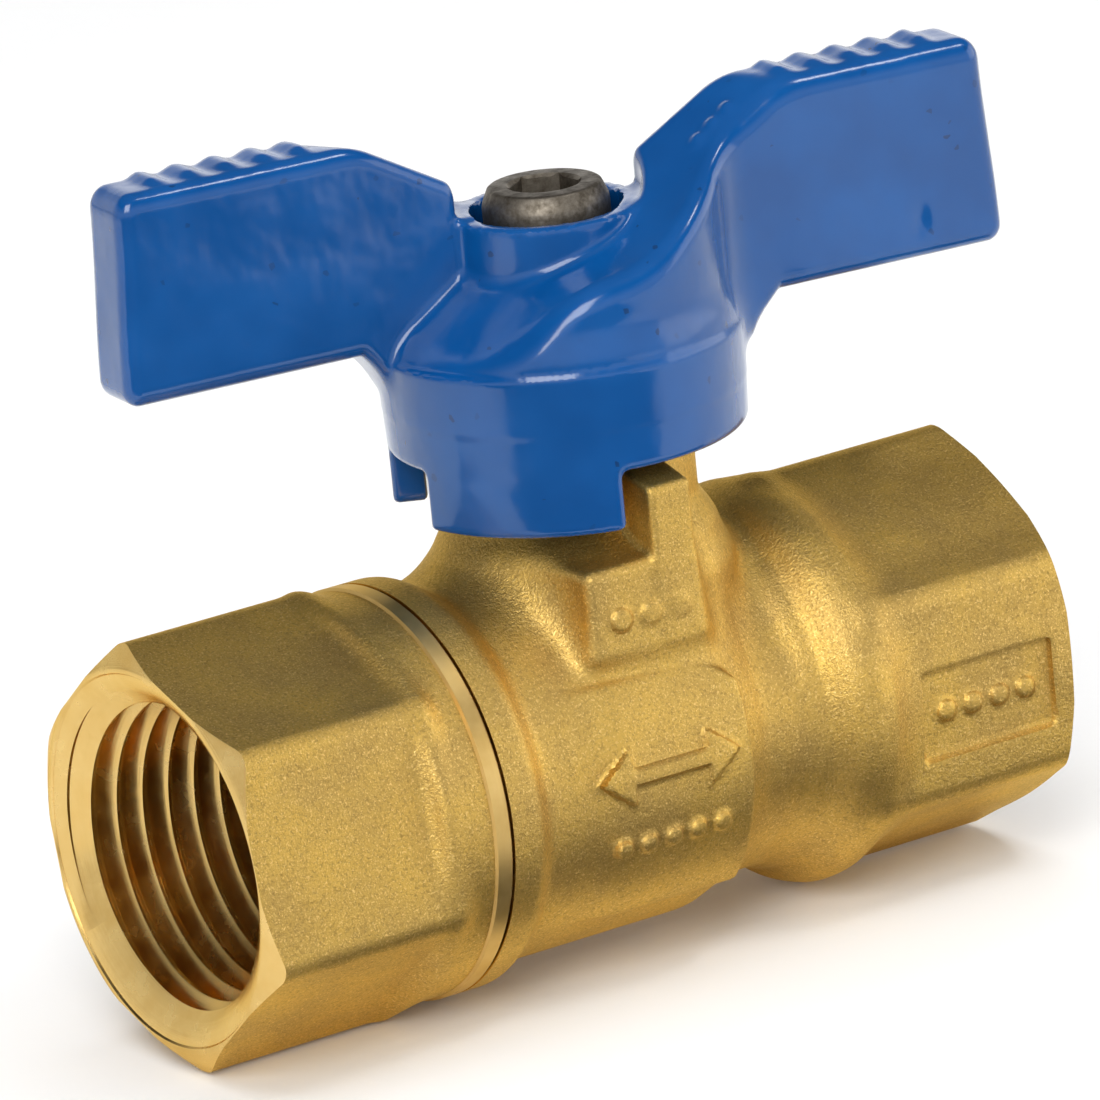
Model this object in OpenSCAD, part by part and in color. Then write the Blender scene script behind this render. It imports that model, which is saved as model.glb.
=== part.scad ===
// Two-piece forged brass quarter-turn ball valve with a winged handle.
// Frame: origin at the centre of the inlet end face, +X along the flow, +Z up the stem.

/* [Valve body] */
// Length from inlet end face to outlet end face
valve_length = 60; // [59:0.5:62]
// Distance from the inlet end face to the stem axis
stem_x = 32.3; // [32:0.1:32.6]
// Distance from the inlet end face to the joint between end cap and body
joint_x = 17.3; // [17:0.1:17.6]
// Radius of the round flange on each side of the joint
flange_r = 12.9; // [12.6:0.1:13.2]
// Radius of the barrel around the ball
barrel_r = 11.9; // [11.7:0.1:12.2]
// Radius of the waist between barrel and outlet
waist_r = 10.7; // [10.4:0.1:11]
// Width across the flats of the outlet hexagon
outlet_hex = 23.0; // [22.6:0.1:23.6]
// Width across the flats of the end cap hexagon
cap_hex = 23.4; // [23:0.1:24]
// Turn of the end cap from vertex-on-top towards the back, in degrees
cap_turn = 9.6; // [0:0.2:30]

/* [Pipe threads] */
// Crest radius of the female pipe thread
thread_r = 9.15; // [9:0.05:9.3]
// Depth of the female pipe thread
thread_depth = 14; // [12:0.5:14.5]
// Radius of the countersink at each end face
countersink_r = 10.6; // [10.3:0.1:10.8]

/* [Ball and seats] */
// Radius of the ball
ball_r = 9.5; // [9.3:0.1:9.6]
// Radius of the waterway
port_r = 6.25; // [5.5:0.05:6.3]
// Outer radius of the seat rings
seat_r = 8.75; // [8.6:0.05:8.8]

/* [Stem and neck] */
// Outer radius of the neck that guides the stem
neck_r = 7.8; // [7.5:0.1:8.1]
// Height of the top of the neck
neck_top = 19.4; // [18.5:0.1:20]
// Radius of the stem
stem_r = 4.75; // [4.6:0.05:4.8]
// Width across the flats of the square that drives the handle
drive_square = 7.4; // [7:0.1:7.6]
// Width of the stop lug on the neck
lug_w = 3.0; // [2.6:0.1:3.1]

/* [Handle] */
// Turn from the open stop at rest, in degrees
rest_turn = 7.3; // [0:0.1:12]
// Length of the handle from wing tip to wing tip
handle_span = 57; // [50:0.5:60]
// Thickness of a wing
wing_t = 5.1; // [4:0.1:5.2]
// Height of the underside of the wings
wing_bottom = 26.3; // [26:0.1:27]
// Height of the top edge of the wings
wing_top = 39.4; // [38:0.1:42]
// Radius of the hub skirt at its lower rim
skirt_r = 11; // [10.9:0.05:11.2]
// Thickness of the hub skirt and its tabs
skirt_t = 2.1; // [1.8:0.1:2.2]
// Height of the lower rim of the skirt
skirt_bottom = 19.2; // [18.8:0.1:19.6]
// Height of the lower edge of the stop tabs
tab_bottom = 15.6; // [15.2:0.1:16]
// Number of grip pips on each wing
pip_count = 5; // [3:1:6]

/* [Hidden] */
$fn = 96;

brass = [0.80, 0.66, 0.34];
dark_brass = [0.70, 0.56, 0.30];
chrome = [0.85, 0.86, 0.88];
ptfe = [0.93, 0.93, 0.90];
black_rubber = [0.08, 0.08, 0.09];
blue_paint = [0.05, 0.27, 0.62];
steel = [0.55, 0.54, 0.52];

bite = 0.01;                         // overlap that makes cuts clean
far = 40;                            // reach of cutting solids
outlet_x = valve_length - thread_depth;
chamfer_x = 0.9;                     // length of the turned chamfer on a hexagon
corner_margin = 0.1;                 // turning radius beyond a hexagon's corners
face_r = 11.9;                       // radius of the flat turned end face
countersink_x = 0.9;                 // depth of the countersink

// inside of the body
joint_thread_r = 10.5;
joint_thread_end = 22;
spigot_fit = 0.05;                   // radial clearance of the end cap in the body
cavity_r = 9.9;
pocket_r = seat_r + 0.05;            // seat pockets in body and end cap
seat_back = 8.7;                     // from the stem axis to the back of a seat
seat_front = 5;                      // from the stem axis to the front land of a seat
seat_bore_r = port_r + 0.35;
cap_end = stem_x - seat_front - 0.2;
seat_gap = 0.06;                     // between the ball and a seat's spherical face

// stem stack, heights above the pipe axis
slot_bottom = port_r + 0.95;
slot_w = 4.6;
shoulder_bottom = 9.95;
shoulder_top = 11.2;
shoulder_r = 6.2;
washer_top = shoulder_top + 1;
stem_pocket_r = shoulder_r + 0.2;
stem_pocket_top = washer_top + 0.05;
stem_fit = 0.04;                     // radial running clearance of the stem
square_bottom = 22;
stem_top = 28.3;
ring_heights = [13.9, 16.7];
ring_wire_r = 0.7;
groove_h = 1.9;
groove_r = stem_r + stem_fit - 2 * ring_wire_r - 0.03;

// handle screw, M5 with a socket head
screw_r = 2.45;
screw_hole_r = 2.5;
screw_hole_bottom = 17.5;
screw_tip = 19;
head_r = 3.9;
head_top = 34.8;
head_bottom = 29.8;
head_flat_r = 3.45;
hex_key = 4;
socket_depth = 2.6;

// handle
hub_r = 10.7;                        // hub radius above the parting line
parting_z = 25.7;
parting_r = skirt_r + 0.3;
parting_h = 4;                       // height over which the skirt widens to the parting line
skirt_inner_r = skirt_r - skirt_t;
floor_bottom = square_bottom;        // the hub floor rests on the stem's shoulder
floor_top = 28.6;
collar_r = 5.8;
collar_top = 33.4;
recess_r = 4.7;
collar_gap = 0.1;                    // from the collar to the foot of a wing
square_fit = 0.05;
wing_gap = 0.15;                     // from the stem axis to the inner face of a wing
gusset = 2.1;                        // under the root of a wing
wing_root = 13.4;                    // where the top edge of a wing starts
wing_shoulder = [10, 37.1];          // where the top edge turns down into the ramp
ramp_knee = [2, 31.8];               // where the ramp steepens, along the wing and up
ramp_foot = [-6, 28.6];              // where the ramp meets the collar's foot
tip_draft = 0.75;
stop_edge = 10.5;                    // from the lug's centre line to the edge of a tab at a stop
lock_tab_start = 146;
lock_tab_end = 155.4;
pip_r = 0.9;
pip_rise = 0.4;
pip_l = 2.6;

// Lays a shape that is turned around Z along the flow axis.
module along_x() {
    rotate([0, 90, 0]) children();
}

// A cylinder on the flow axis from one x to another.
module pipe_cylinder(x1, x2, r1, r2) {
    translate([x1, 0, 0]) along_x() cylinder(h = x2 - x1, r1 = r1, r2 = r2);
}

// A hexagon with a vertex on top, across-flats width w, turned by an angle.
module hexagon(x1, x2, w, turn) {
    translate([x1, 0, 0])
        rotate([-turn, 0, 0])
            along_x() cylinder(h = x2 - x1, r = w / sqrt(3), $fn = 6);
}

// The threaded socket of an end, drawn at the origin and opening towards -X.
module pipe_socket() {
    pipe_cylinder(-bite, thread_depth, thread_r, thread_r);
    pipe_cylinder(-bite, countersink_x, countersink_r, thread_r);
}

// A ring sector around Z, between two radii and two heights.
module sector(start, sweep, r1, r2, z1, z2) {
    rotate(start) rotate_extrude(angle = sweep)
        translate([r1, z1]) square([r2 - r1, z2 - z1]);
}

// The round-cornered square between stem and handle, grown by a clearance.
module drive_shape(z1, z2, grow) {
    side = drive_square + 2 * grow;
    translate([0, 0, z1])
    intersection() {
        cylinder(h = z2 - z1, r = stem_r - 0.05 + grow);
        translate([-side / 2, -side / 2, 0]) cube([side, side, z2 - z1]);
    }
}

// --- Brass body -------------------------------------------------------------

// Outside of the body, turned around the flow axis.
module body_barrel() {
    flange_end = joint_x + 2.1;
    barrel_start = flange_end + 0.5;
    barrel_end = stem_x + 2.2;
    waist_start = stem_x + 3.2;
    waist_end = stem_x + 8;
    ring_start = stem_x + 11.7;
    ring_crest = stem_x + 12.7;
    ring_end = stem_x + 14.1;
    flats_start = stem_x + 15.3;
    ring_edge_r = flange_r - 0.15;
    along_x() rotate_extrude()
        polygon([
            [0, joint_x],
            [flange_r, joint_x],
            [flange_r, flange_end],
            [barrel_r, barrel_start],
            [barrel_r, barrel_end],
            [waist_r, waist_start],
            [waist_r, waist_end],
            [ring_edge_r, ring_start],
            [flange_r, ring_crest],
            [ring_edge_r, ring_end],
            [outlet_hex / 2, flats_start],
            [0, flats_start],
        ]);
}

module outlet_hexagon() {
    corner_r = outlet_hex / sqrt(3) + corner_margin;
    flats_start = stem_x + 12.2;
    corners_start = flats_start + 2.5;
    intersection() {
        hexagon(flats_start, valve_length, outlet_hex, 0);
        along_x() rotate_extrude()
            polygon([
                [0, flats_start],
                [outlet_hex / 2, flats_start],
                [corner_r, corners_start],
                [corner_r, valve_length - chamfer_x],
                [face_r, valve_length],
                [0, valve_length],
            ]);
    }
}

// Neck with its foot, the stop lug and the plate below the lug.
module neck_outside() {
    foot_z = 11.8;
    foot_r = 9.6;
    shelf_z = 14.2;
    shelf_r = neck_r + 0.5;
    lug_top = 17.9;
    lug_face = 10.6;
    plate_x = [-6.2, 1.8];
    plate_z = [5.5, 13.4];
    plate_face = 10.3;
    translate([stem_x, 0, 0]) {
        cylinder(h = neck_top, r = neck_r);
        cylinder(h = foot_z, r = foot_r);
        translate([0, 0, foot_z]) cylinder(h = shelf_z - foot_z, r1 = foot_r, r2 = shelf_r);
        translate([-lug_w / 2, -lug_face, 0]) cube([lug_w, lug_face, lug_top]);
        translate([plate_x[0], -plate_face, plate_z[0]])
            cube([plate_x[1] - plate_x[0], plate_face, plate_z[1] - plate_z[0]]);
    }
}

// Low pad on each side of the barrel.
module barrel_pads() {
    pad_r = barrel_r + 0.35;
    pad_x = joint_x + 3.5;
    pad_end = stem_x + 2.9;
    pad_low = -8;
    pad_high = 6.3;
    intersection() {
        pipe_cylinder(pad_x, pad_end, pad_r, pad_r);
        translate([0, -far, pad_low]) cube([far, 2 * far, pad_high - pad_low]);
    }
}

// Ball cavity, joint thread, outlet seat pocket, port and outlet thread.
module body_inside() {
    cavity_end = stem_x + 0.9;
    pocket_start = stem_x + 4.7;
    top_chamfer = 0.5;
    along_x() rotate_extrude()
        polygon([
            [0, joint_x - bite],
            [joint_thread_r, joint_x - bite],
            [joint_thread_r, joint_thread_end],
            [cavity_r, joint_thread_end],
            [cavity_r, cavity_end],
            [pocket_r, pocket_start],
            [pocket_r, stem_x + seat_back],
            [port_r, stem_x + seat_back],
            [port_r, outlet_x + bite],
            [0, outlet_x + bite],
        ]);
    translate([valve_length, 0, 0]) mirror([1, 0, 0]) pipe_socket();
    translate([stem_x, 0, 0]) {
        cylinder(h = stem_pocket_top, r = stem_pocket_r);
        cylinder(h = neck_top + bite, r = stem_r + stem_fit);
        translate([0, 0, neck_top - top_chamfer])
            cylinder(h = top_chamfer + bite, r1 = stem_r + stem_fit, r2 = stem_r + top_chamfer);
    }
}

module body() {
    color(brass)
    difference() {
        union() {
            body_barrel();
            outlet_hexagon();
            barrel_pads();
            neck_outside();
        }
        body_inside();
    }
}

// --- Brass end cap ----------------------------------------------------------

module cap_outside() {
    corner_r = cap_hex / sqrt(3) + corner_margin;
    flats_end = joint_x - 3.6;
    corners_end = flats_end + 1.5;
    rim_start = flats_end - 0.7;
    rim_r = flange_r - 0.2;
    collar_start = joint_x - 1.3;
    spigot_r = joint_thread_r - spigot_fit;
    nose_r = cavity_r - spigot_fit;
    spigot_end = joint_thread_end - 0.3;
    intersection() {
        hexagon(0, corners_end, cap_hex, cap_turn);
        along_x() rotate_extrude()
            polygon([
                [0, 0],
                [face_r, 0],
                [corner_r, chamfer_x],
                [corner_r, flats_end],
                [cap_hex / 2, corners_end],
                [0, corners_end],
            ]);
    }
    pipe_cylinder(rim_start, flats_end, cap_hex / 2, rim_r);
    pipe_cylinder(flats_end, collar_start, rim_r, rim_r);
    pipe_cylinder(collar_start, joint_x, flange_r, flange_r);
    pipe_cylinder(collar_start, spigot_end, spigot_r, spigot_r);
    pipe_cylinder(collar_start, cap_end, nose_r, nose_r);
}

module end_cap() {
    seat_x = stem_x - seat_back;
    color(dark_brass)
    difference() {
        cap_outside();
        pipe_socket();
        pipe_cylinder(thread_depth - bite, seat_x + bite, port_r, port_r);
        pipe_cylinder(seat_x, cap_end + bite, pocket_r, pocket_r);
    }
}

// --- Ball and seats ---------------------------------------------------------

module ball() {
    color(chrome)
    translate([stem_x, 0, 0])
    rotate(-rest_turn)
    difference() {
        sphere(r = ball_r);
        translate([-far / 2, 0, 0]) along_x() cylinder(h = far, r = port_r);
        translate([-slot_w / 2, -far / 2, slot_bottom]) cube([slot_w, far, far]);
    }
}

// Seat ring on the inlet side of the stem axis.
module seat_ring() {
    difference() {
        pipe_cylinder(-seat_back, -seat_front, seat_r, seat_r);
        pipe_cylinder(-seat_back - bite, 0, seat_bore_r, seat_bore_r);
        sphere(r = ball_r + seat_gap);
    }
}

module inlet_seat() {
    color(ptfe) translate([stem_x, 0, 0]) seat_ring();
}

module outlet_seat() {
    color(ptfe) translate([stem_x, 0, 0]) mirror([1, 0, 0]) seat_ring();
}

// --- Stem and its seals -----------------------------------------------------

module stem() {
    tongue_play = 0.15;
    tongue_w = slot_w - 2 * tongue_play;
    tongue_l = 9;
    tongue_bottom = slot_bottom + tongue_play;
    color(dark_brass)
    translate([stem_x, 0, 0])
    rotate(-rest_turn)
    difference() {
        union() {
            translate([-tongue_w / 2, -tongue_l / 2, tongue_bottom])
                cube([tongue_w, tongue_l, shoulder_top - tongue_bottom]);
            translate([0, 0, shoulder_bottom])
                cylinder(h = shoulder_top - shoulder_bottom, r = shoulder_r);
            translate([0, 0, shoulder_bottom]) cylinder(h = square_bottom - shoulder_bottom, r = stem_r);
            drive_shape(square_bottom - bite, stem_top, 0);
        }
        for (z = ring_heights)
            sector(0, 360, groove_r, stem_r + 1, z - groove_h / 2, z + groove_h / 2);
        translate([0, 0, screw_hole_bottom]) cylinder(h = far, r = screw_hole_r);
    }
}

module thrust_washer() {
    color(ptfe)
    translate([stem_x, 0, 0])
        sector(0, 360, stem_r + 0.1, shoulder_r, shoulder_top, washer_top);
}

// O-ring around the stem at height z.
module stem_ring(z) {
    color(black_rubber)
    translate([stem_x, 0, z])
    rotate_extrude()
        translate([stem_r + stem_fit - ring_wire_r - 0.01, 0]) circle(r = ring_wire_r, $fn = 32);
}

module lower_stem_ring() {
    stem_ring(ring_heights[0]);
}

module upper_stem_ring() {
    stem_ring(ring_heights[1]);
}

// --- Handle -----------------------------------------------------------------

// Side view of half a handle: the ramp that climbs the hub and the wing it leads to.
module wing_profile() {
    tip = handle_span / 2;
    polygon([
        [-hub_r, floor_bottom],
        [hub_r, floor_bottom],
        [hub_r, wing_bottom - gusset],
        [hub_r + gusset, wing_bottom],
        [tip, wing_bottom],
        [tip - tip_draft, wing_top],
        [wing_root, wing_top],
        wing_shoulder,
        ramp_knee,
        ramp_foot,
        [-hub_r, parting_z],
    ]);
}

// Top view of half a handle: half of the hub with a wing along its inner side.
module wing_plan() {
    intersection() {
        circle(r = hub_r);
        translate([-far, -far - wing_gap]) square([2 * far, far]);
    }
    translate([0, -wing_gap - wing_t]) square([handle_span / 2, wing_t]);
}

module grip_pips() {
    first = wing_root + 3;
    last = handle_span / 2 - 4;
    pip_y = -wing_gap - (wing_t - pip_l) / 2;
    pip_z = wing_top + pip_rise - pip_r;
    for (i = [0 : pip_count - 1])
        translate([first + (last - first) * i / (pip_count - 1), pip_y, pip_z])
            rotate([90, 0, 0]) cylinder(h = pip_l, r = pip_r, $fn = 48);
}

module half_handle() {
    intersection() {
        linear_extrude(height = wing_top + 1) wing_plan();
        rotate([90, 0, 0]) linear_extrude(height = far) wing_profile();
    }
    grip_pips();
}

// The space between two tabs below the skirt.
module skirt_gap(start, sweep) {
    sector(start, sweep, skirt_inner_r - 1, skirt_r + 1, tab_bottom - 1, skirt_bottom);
}

module handle() {
    color(blue_paint)
    translate([stem_x, 0, 0])
    rotate(-rest_turn)
    difference() {
        union() {
            for (turn = [0, 180]) rotate(turn) half_handle();
            translate([0, 0, tab_bottom]) cylinder(h = parting_z - tab_bottom, r = skirt_r);
            translate([0, 0, parting_z - parting_h])
                cylinder(h = parting_h, r1 = skirt_r, r2 = parting_r);
            translate([0, 0, floor_bottom]) cylinder(h = collar_top - floor_bottom, r = collar_r);
        }
        translate([0, 0, tab_bottom - bite])
            cylinder(h = floor_bottom - tab_bottom + bite, r = skirt_inner_r);
        skirt_gap(-90 - stop_edge, 90 + 2 * stop_edge);
        skirt_gap(90 - stop_edge, lock_tab_start - 90 + stop_edge);
        skirt_gap(lock_tab_end, 180 + stop_edge - lock_tab_end);
        translate([0, 0, floor_top]) cylinder(h = far, r = recess_r);
        translate([0, 0, collar_top]) cylinder(h = far, r = collar_r + collar_gap);
        drive_shape(floor_bottom - bite, floor_top + bite, square_fit);
    }
}

// --- Handle fixing ----------------------------------------------------------

// Split washer under the screw head.
module spring_washer() {
    split_w = 0.8;
    washer_r = 4.2;
    color(steel)
    translate([stem_x, 0, 0])
    rotate(-rest_turn)
    difference() {
        sector(0, 360, screw_r + 0.15, washer_r, floor_top, head_bottom);
        translate([0, -split_w / 2, floor_top - 1]) cube([far, split_w, far]);
    }
}

module handle_screw() {
    chamfer_h = 0.9;
    color(steel)
    translate([stem_x, 0, 0])
    difference() {
        union() {
            translate([0, 0, screw_tip]) cylinder(h = head_bottom - screw_tip + bite, r = screw_r);
            translate([0, 0, head_bottom])
                cylinder(h = head_top - chamfer_h - head_bottom, r = head_r);
            translate([0, 0, head_top - chamfer_h])
                cylinder(h = chamfer_h, r1 = head_r, r2 = head_flat_r);
        }
        translate([0, 0, head_top - socket_depth])
            cylinder(h = socket_depth + bite, r = hex_key / sqrt(3), $fn = 6);
    }
}

body();
end_cap();
ball();
inlet_seat();
outlet_seat();
stem();
thrust_washer();
lower_stem_ring();
upper_stem_ring();
handle();
spring_washer();
handle_screw();
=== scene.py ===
import bpy
import bmesh
import math
import numpy as np
from mathutils import Matrix, Vector


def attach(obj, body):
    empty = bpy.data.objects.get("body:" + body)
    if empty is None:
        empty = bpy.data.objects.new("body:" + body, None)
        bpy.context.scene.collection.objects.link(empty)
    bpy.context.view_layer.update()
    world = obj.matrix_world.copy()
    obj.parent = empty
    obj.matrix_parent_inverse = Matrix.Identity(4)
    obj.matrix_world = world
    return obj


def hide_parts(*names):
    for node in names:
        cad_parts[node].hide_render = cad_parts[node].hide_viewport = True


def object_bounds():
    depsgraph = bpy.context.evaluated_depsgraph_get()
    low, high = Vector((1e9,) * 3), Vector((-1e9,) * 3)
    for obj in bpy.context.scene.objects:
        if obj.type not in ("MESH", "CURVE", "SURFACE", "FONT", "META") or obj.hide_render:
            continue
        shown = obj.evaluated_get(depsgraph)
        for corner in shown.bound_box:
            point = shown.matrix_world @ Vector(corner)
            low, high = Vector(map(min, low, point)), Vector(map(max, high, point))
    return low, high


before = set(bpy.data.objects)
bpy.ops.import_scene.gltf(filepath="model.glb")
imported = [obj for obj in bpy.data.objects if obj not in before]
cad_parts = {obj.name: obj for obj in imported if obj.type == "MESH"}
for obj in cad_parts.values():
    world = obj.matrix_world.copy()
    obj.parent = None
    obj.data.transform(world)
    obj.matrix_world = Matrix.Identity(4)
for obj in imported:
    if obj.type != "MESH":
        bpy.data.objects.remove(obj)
cad_low, cad_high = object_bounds()

MM = 0.001
STEM_X = 32.3            # stem axis from the inlet end face, mm
STEM_CENTRE = (STEM_X * MM, 0, 0)
REST_TURN = -7.3         # the handle at rest, degrees about the stem
BODY_GRID = 0.26         # cells of the field meshes, mm
HANDLE_GRID = 0.24

# pipe thread, mm
PITCH = 25.4 / 14
CREST_R = 9.42           # at the end face
THREAD_DEPTH = 1.25
THREAD_LENGTH = 13.6
TAPER = 0.031            # on the radius, per mm
THREAD_PHASE = 0.28      # share of the pitch

# body and end cap, mm
LENGTH = 60
BODY_FLATS = 23.0        # across the outlet hexagon
CAP_FLATS = 23.4
CAP_TURN = 9.6           # the cap's hexagon against the body's, degrees
BARREL_R = 11.95
CAP_RIM_R = 12.72
NECK_R = 7.55
HEX_START = 45.0         # inner end of the outlet hexagon
SPIGOT_BORE_R = 10.5     # in the body, for the cap's spigot
CAVITY_R = 9.9           # round the ball
SPIGOT_GAP = 0.05
SEAT_R = 8.8
PORT_R = 6.25            # waterway between a thread and its seat
STEM_HOLE_R = 4.79
SHOULDER_R = 6.4         # wider part of the stem's hole
PLATE_Y = -10.35         # front of the plate below the lug
LUG_Y = -10.55
PANEL_Y = 11.12          # bottom of the sunk panels
PAD_DOT_R = 12.86        # outer limit of the relief on the pads

# handle, mm
HUB_R = 10.7
SKIRT_R = 11.0
SKIRT_LOW, SKIRT_HIGH = 15.6, 25.7
GAP_HIGH = 19.2          # top of the gaps between the skirt's tabs
COLLAR_R = 5.8
COLLAR_HIGH = 33.4
RECESS_R = 4.7
STEM_SQUARE = 7.5        # across the flats of the stem's hole
WING_HIGH = 39.35
WING_LOW = 26.35
WING_NEAR, WING_FAR = -0.15, -5.25
WING_TIP = 28.5
WING_ROOT = 10.7         # where the ramp reaches its full height

# screw, mm
HEAD_HIGH = 34.8
HEAD_LOW = 29.8
HEAD_R = 3.9
SHANK_R = 2.45
SOCKET = 4.0             # across the flats of the key
SOCKET_TURN = 33         # degrees

# ---------------------------------------------------------------- distance fields, mm


def fillet(a, b, r):
    """Union of two solids with a concave fillet of radius r."""
    u = np.maximum(r - a, 0)
    v = np.maximum(r - b, 0)
    return np.maximum(r, np.minimum(a, b)) - np.sqrt(u * u + v * v)


def trim(a, b, r):
    """Intersection of two solids with an edge rounded by r."""
    u = np.maximum(r + a, 0)
    v = np.maximum(r + b, 0)
    return np.minimum(-r, np.maximum(a, b)) + np.sqrt(u * u + v * v)


def soft_min(a, b, k):
    """Union of two solids, blended over a width k."""
    h = np.clip(0.5 + 0.5 * (b - a) / k, 0, 1)
    return b * (1 - h) + a * h - k * h * (1 - h)


def soft_max(a, b, k):
    """Intersection of two solids, blended over a width k."""
    return -soft_min(-a, -b, k)


def smooth(t, t0, t1):
    """Rises from 0 at t0 to 1 at t1 with no corners."""
    t = np.clip((t - t0) / (t1 - t0), 0, 1)
    return t * t * (3 - 2 * t)


def slab(t, t1, t2):
    """Signed distance to the layer between t1 and t2."""
    return np.abs(t - (t1 + t2) / 2) - (t2 - t1) / 2


def block(p, q, s, low, high, r):
    """A box with all its edges rounded by r."""
    dx = slab(p, low[0], high[0]) + r
    dy = slab(q, low[1], high[1]) + r
    dz = slab(s, low[2], high[2]) + r
    out = np.sqrt(np.maximum(dx, 0) ** 2 + np.maximum(dy, 0) ** 2 + np.maximum(dz, 0) ** 2)
    return out + np.minimum(np.maximum(dx, np.maximum(dy, dz)), 0) - r


def hexagon(y, z, flats, turn, r):
    """A six-sided prism along X with a corner on top, turned by degrees, edges rounded by r."""
    worst = None
    for k in range(3):
        a = math.radians(30 + 60 * k + turn)
        d = np.abs(y * math.sin(a) + z * math.cos(a)) - flats / 2
        worst = d if worst is None else trim(worst, d, r)
    return worst


def profile(points, blur):
    """Radius along an axis from a few corner points, rounded over a length."""
    step = 0.05
    t = np.arange(points[0][0] - 3, points[-1][0] + 3, step)
    v = np.interp(t, [p[0] for p in points], [p[1] for p in points])
    w = np.exp(-0.5 * (np.arange(-3 * blur, 3 * blur + 0.01, step) / blur) ** 2)
    pad = len(w) // 2
    v = np.convolve(np.pad(v, pad, mode="edge"), w / w.sum(), mode="same")[pad:-pad]
    slope = np.gradient(v, t)

    def at(x):
        rise = np.interp(x, t, slope)
        return np.interp(x, t, v), 1 / np.sqrt(1 + rise * rise)

    return at


# ---------------------------------------------------------------- field to mesh

CORNERS = [(i, j, k) for i in (0, 1) for j in (0, 1) for k in (0, 1)]
EDGES = [(a, b) for a in range(8) for b in range(a + 1, 8)
         if sum(abs(CORNERS[a][n] - CORNERS[b][n]) for n in range(3)) == 1]


def slope_of(field, p):
    """Gradient of the field by small differences."""
    e = 0.02
    g = np.empty_like(p)
    for n in range(3):
        d = np.zeros(3)
        d[n] = e
        up, down = p + d, p - d
        g[:, n] = (field(*up.T) - field(*down.T)) / (2 * e)
    return g


def settle(field, p, step, rounds):
    """Moves points onto the surface."""
    for _ in range(rounds):
        g = slope_of(field, p)
        d = field(*p.T) / np.maximum((g * g).sum(1), 0.05)
        p = p - np.clip(d, -step, step)[:, None] * g
    return p


def relax(p, quads, normal, amount):
    """Evens out the points along the surface."""
    total = np.zeros_like(p)
    count = np.zeros(len(p))
    for a, b in ((0, 1), (1, 2), (2, 3), (3, 0)):
        for s, e in ((a, b), (b, a)):
            for n in range(3):
                total[:, n] += np.bincount(quads[:, s], weights=p[quads[:, e], n], minlength=len(p))
            count += np.bincount(quads[:, s], minlength=len(p))
    move = total / np.maximum(count, 1)[:, None] - p
    move -= (move * normal).sum(1)[:, None] * normal
    return p + amount * move


def skin(field, low, high, step):
    """Points and quads of the closed surface where the field is zero."""
    axes = [np.arange(low[n] - 2 * step, high[n] + 3 * step, step) for n in range(3)]
    v = np.empty([len(a) for a in axes], np.float32)
    for i, x in enumerate(axes[0]):
        y, z = np.meshgrid(axes[1], axes[2], indexing="ij")
        v[i] = field(np.full_like(y, x), y, z)
    inside = v < 0
    count = np.zeros([s - 1 for s in v.shape], np.uint8)
    for i, j, k in CORNERS:
        count += inside[i:v.shape[0] - 1 + i, j:v.shape[1] - 1 + j, k:v.shape[2] - 1 + k]
    active = (count > 0) & (count < 8)
    cells = np.argwhere(active)
    index = np.full(count.shape, -1, np.int64)
    index[active] = np.arange(len(cells))
    values = [v[cells[:, 0] + i, cells[:, 1] + j, cells[:, 2] + k].astype(float) for i, j, k in CORNERS]
    total = np.zeros((len(cells), 3))
    hits = np.zeros(len(cells))
    for a, b in EDGES:
        cross = (values[a] < 0) != (values[b] < 0)
        t = np.where(cross, values[a] / np.where(cross, values[a] - values[b], 1), 0)
        pa, pb = np.array(CORNERS[a], float), np.array(CORNERS[b], float)
        total += np.where(cross[:, None], pa + t[:, None] * (pb - pa), 0)
        hits += cross
    p = np.array([a[0] for a in axes]) + step * (cells + total / hits[:, None])
    quads = []
    for axis in range(3):
        lo = [slice(1, -1)] * 3
        hi = [slice(1, -1)] * 3
        lo[axis], hi[axis] = slice(0, -1), slice(1, None)
        one, two = inside[tuple(lo)], inside[tuple(hi)]
        at = np.argwhere(one != two)
        out = one[one != two]
        at = at + np.array([0 if n == axis else 1 for n in range(3)])
        b, c = (axis + 1) % 3, (axis + 2) % 3
        ring = []
        for db, dc in ((-1, -1), (0, -1), (0, 0), (-1, 0)):
            q = at.copy()
            q[:, b] += db
            q[:, c] += dc
            ring.append(index[q[:, 0], q[:, 1], q[:, 2]])
        ring = np.stack(ring, 1)
        ring[~out] = ring[~out][:, ::-1]
        quads.append(ring)
    quads = np.vstack(quads)
    p = settle(field, p, step, 2)
    for _ in range(2):
        g = slope_of(field, p)
        normal = g / np.maximum(np.linalg.norm(g, axis=1), 1e-6)[:, None]
        p = settle(field, relax(p, quads, normal, 0.5), step, 1)
    return settle(field, p, step, 1), quads


def link(name, data):
    """Puts a mesh, lamp or camera into the scene."""
    thing = bpy.data.objects.new(name, data)
    bpy.context.scene.collection.objects.link(thing)
    return thing


def new_object(name, points, faces):
    """A mesh object from points in mm."""
    mesh = bpy.data.meshes.new(name)
    mesh.from_pydata((np.asarray(points) * MM).tolist(), [], [list(map(int, f)) for f in faces])
    mesh.update()
    return link(name, mesh)


def skin_object(name, field, low, high, step):
    """A mesh object from a field."""
    p, quads = skin(field, low, high, step)
    return new_object(name, p, quads)


# ---------------------------------------------------------------- turned shapes and cutting


def around(axis, t, r, a, x0=0.0):
    """A point at height t and radius r around the flow axis (X) or the stem axis (Z)."""
    if axis == "X":
        return (t, r * math.cos(a), r * math.sin(a))
    return (x0 + r * math.cos(a), r * math.sin(a), t)


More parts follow.
